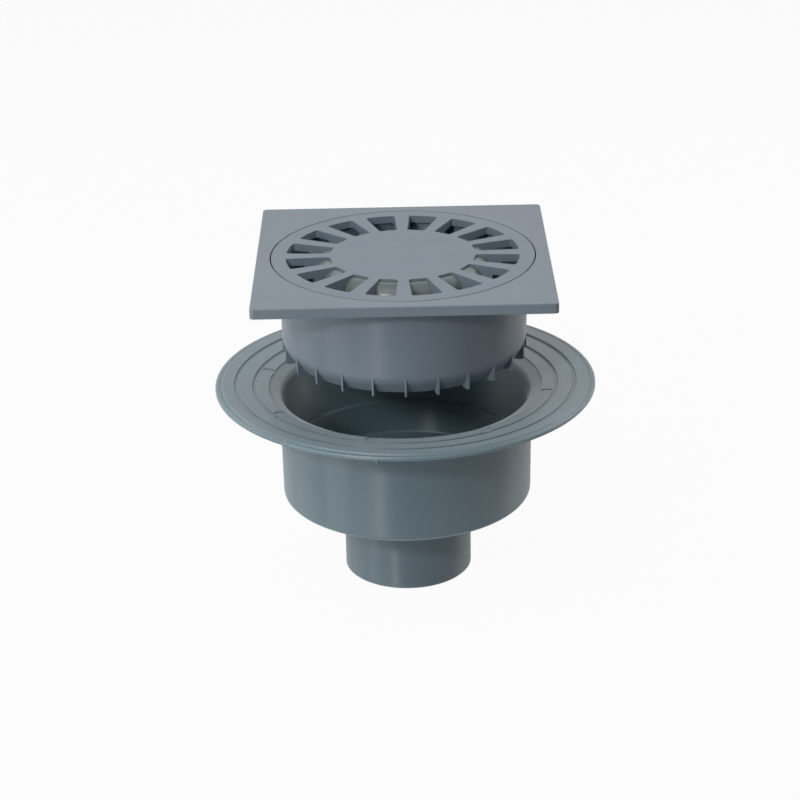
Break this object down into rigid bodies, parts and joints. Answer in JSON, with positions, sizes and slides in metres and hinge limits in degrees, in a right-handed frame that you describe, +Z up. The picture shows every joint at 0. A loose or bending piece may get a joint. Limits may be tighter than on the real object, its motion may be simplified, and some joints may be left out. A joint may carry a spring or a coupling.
{
  "type": "flat roof drain",
  "caption": "Flat roof drain: flanged bowl with upright outlet spigot, and a square frame with trapped cup, bell and round slotted grate that slides down into it.",
  "frame": {"origin": "centre of the outlet spigot's lower end, which the part stands on", "axes": "+Z up along the axis of spigot, bowl and cup; X and Y along the sides of the square frame, -Y towards the viewer"},
  "size_m": [0.265, 0.265, 0.235],
  "materials": {
    "body_pvc": "smooth moulded blue-grey plastic, slight sheen",
    "frame_pvc": "satin moulded grey plastic",
    "grate_pvc": "satin moulded grey plastic",
    "bell_plastic": "glossy pale greenish grey plastic"
  },
  "bodies": {
    "body": {"drain_body": "body_pvc"},
    "cover": {"frame": "frame_pvc", "grate": "grate_pvc", "bell": "bell_plastic"}
  },
  "joints": [
    {"name": "frame_height", "type": "slide", "parent": "body", "child": "cover", "axis": [0, 0, 1], "range_m": [-0.075, 0]}
  ]
}
